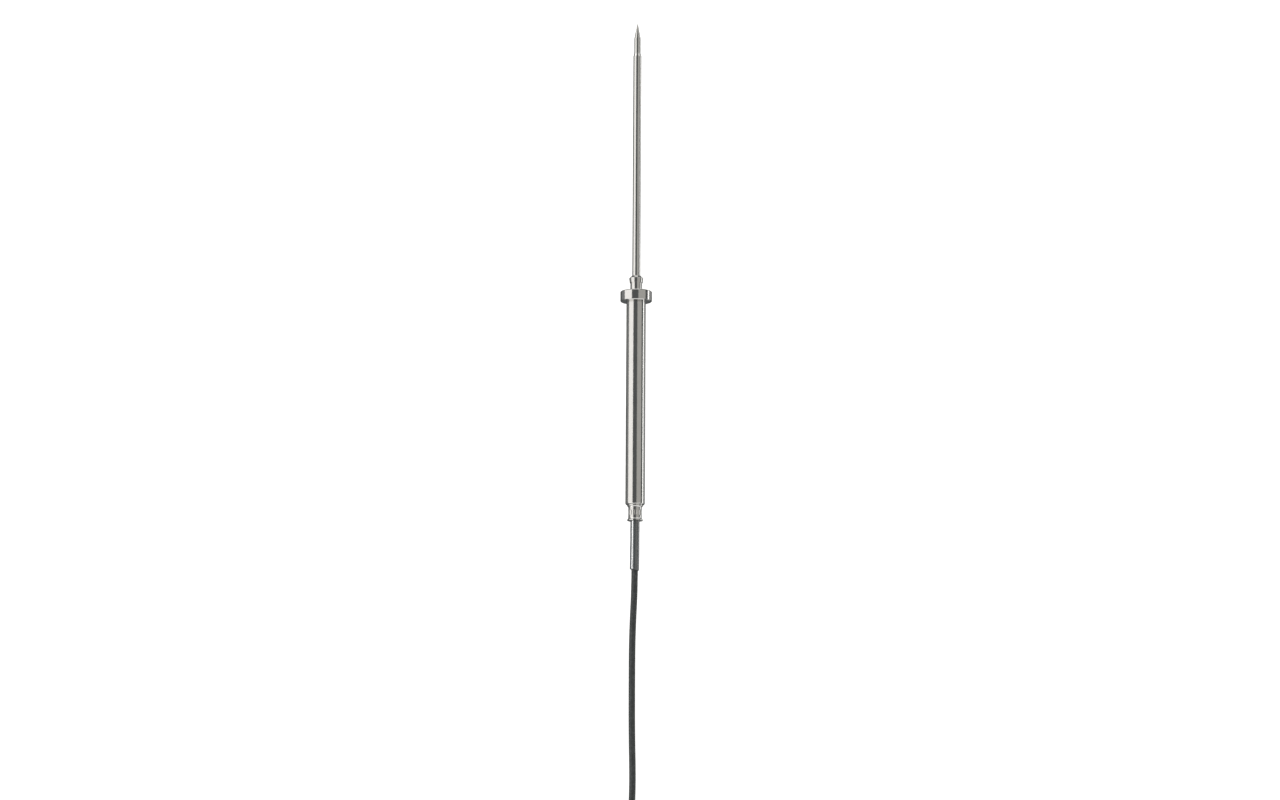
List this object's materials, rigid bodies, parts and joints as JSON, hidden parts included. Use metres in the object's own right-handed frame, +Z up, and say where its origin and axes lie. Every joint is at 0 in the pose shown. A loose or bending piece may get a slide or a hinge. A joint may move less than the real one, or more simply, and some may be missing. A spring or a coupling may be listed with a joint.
{
  "type": "penetration thermocouple probe",
  "caption": "Hand-held thermocouple probe: pointed slim steel stem, turned head with a finger flange, round steel handle, crimped cable tail and a flat-blade plug.",
  "frame": {"origin": "on the table, under the middle of the probe's length from the point to the mouth of the kink sleeve", "axes": "+Y along the table towards the point, +Z up; the probe lies on its flange and on the rear edge of its handle, so its axis rises 1.7 degrees towards the point"},
  "size_m": [0.0288, 0.4821, 0.0176],
  "materials": {
    "polished_steel": "turned and polished stainless steel",
    "grey_sleeve": "smooth, half-glossy dark grey silicone tube",
    "black_jacket": "matt black moulded cable jacket, finely grained",
    "black_strap": "woven hook-and-loop tape",
    "black_rubber": "matt rubber",
    "green_plug": "moulded, finely textured green plastic",
    "thermo_alloy": "bare nickel alloy",
    "plated_crimp": "tin-plated metal",
    "brass_insert": "turned brass",
    "white_ceramic": "unglazed white ceramic",
    "amber_resin": "cast resin",
    "green_insulation": "smooth insulation",
    "white_insulation": "smooth insulation"
  },
  "bodies": {
    "root": {"measuring_point": "polished_steel", "stem_tube": "polished_steel", "front_collar": "polished_steel", "head_bush": "polished_steel", "finger_flange": "polished_steel", "handle_tube": "polished_steel", "front_seal_ring": "black_rubber", "rear_seal_ring": "black_rubber", "tail_bush": "polished_steel", "crimp_ferrule": "polished_steel", "kink_sleeve": "grey_sleeve", "hot_junction": "thermo_alloy", "positive_wire": "thermo_alloy", "negative_wire": "thermo_alloy", "twin_bore_insulator": "white_ceramic", "tip_cement": "white_ceramic", "stem_seal": "amber_resin", "positive_splice": "plated_crimp", "negative_splice": "plated_crimp", "positive_splice_cover": "black_rubber", "negative_splice_cover": "black_rubber", "positive_core": "green_insulation", "negative_core": "white_insulation", "cable_end": "black_jacket", "rear_potting": "amber_resin", "cable_run": "black_jacket", "cable_hank": "black_jacket", "cable_plug_lead": "black_jacket", "hank_strap": "black_strap", "plug_base": "green_plug", "plug_cover": "green_plug", "positive_blade": "thermo_alloy", "negative_blade": "thermo_alloy", "terminal_screws": "plated_crimp", "cover_screw": "plated_crimp", "screw_insert": "brass_insert", "plug_grommet": "black_rubber", "plug_cable_end": "black_jacket", "plug_positive_core": "green_insulation", "plug_negative_core": "white_insulation"}
  },
  "joints": []
}
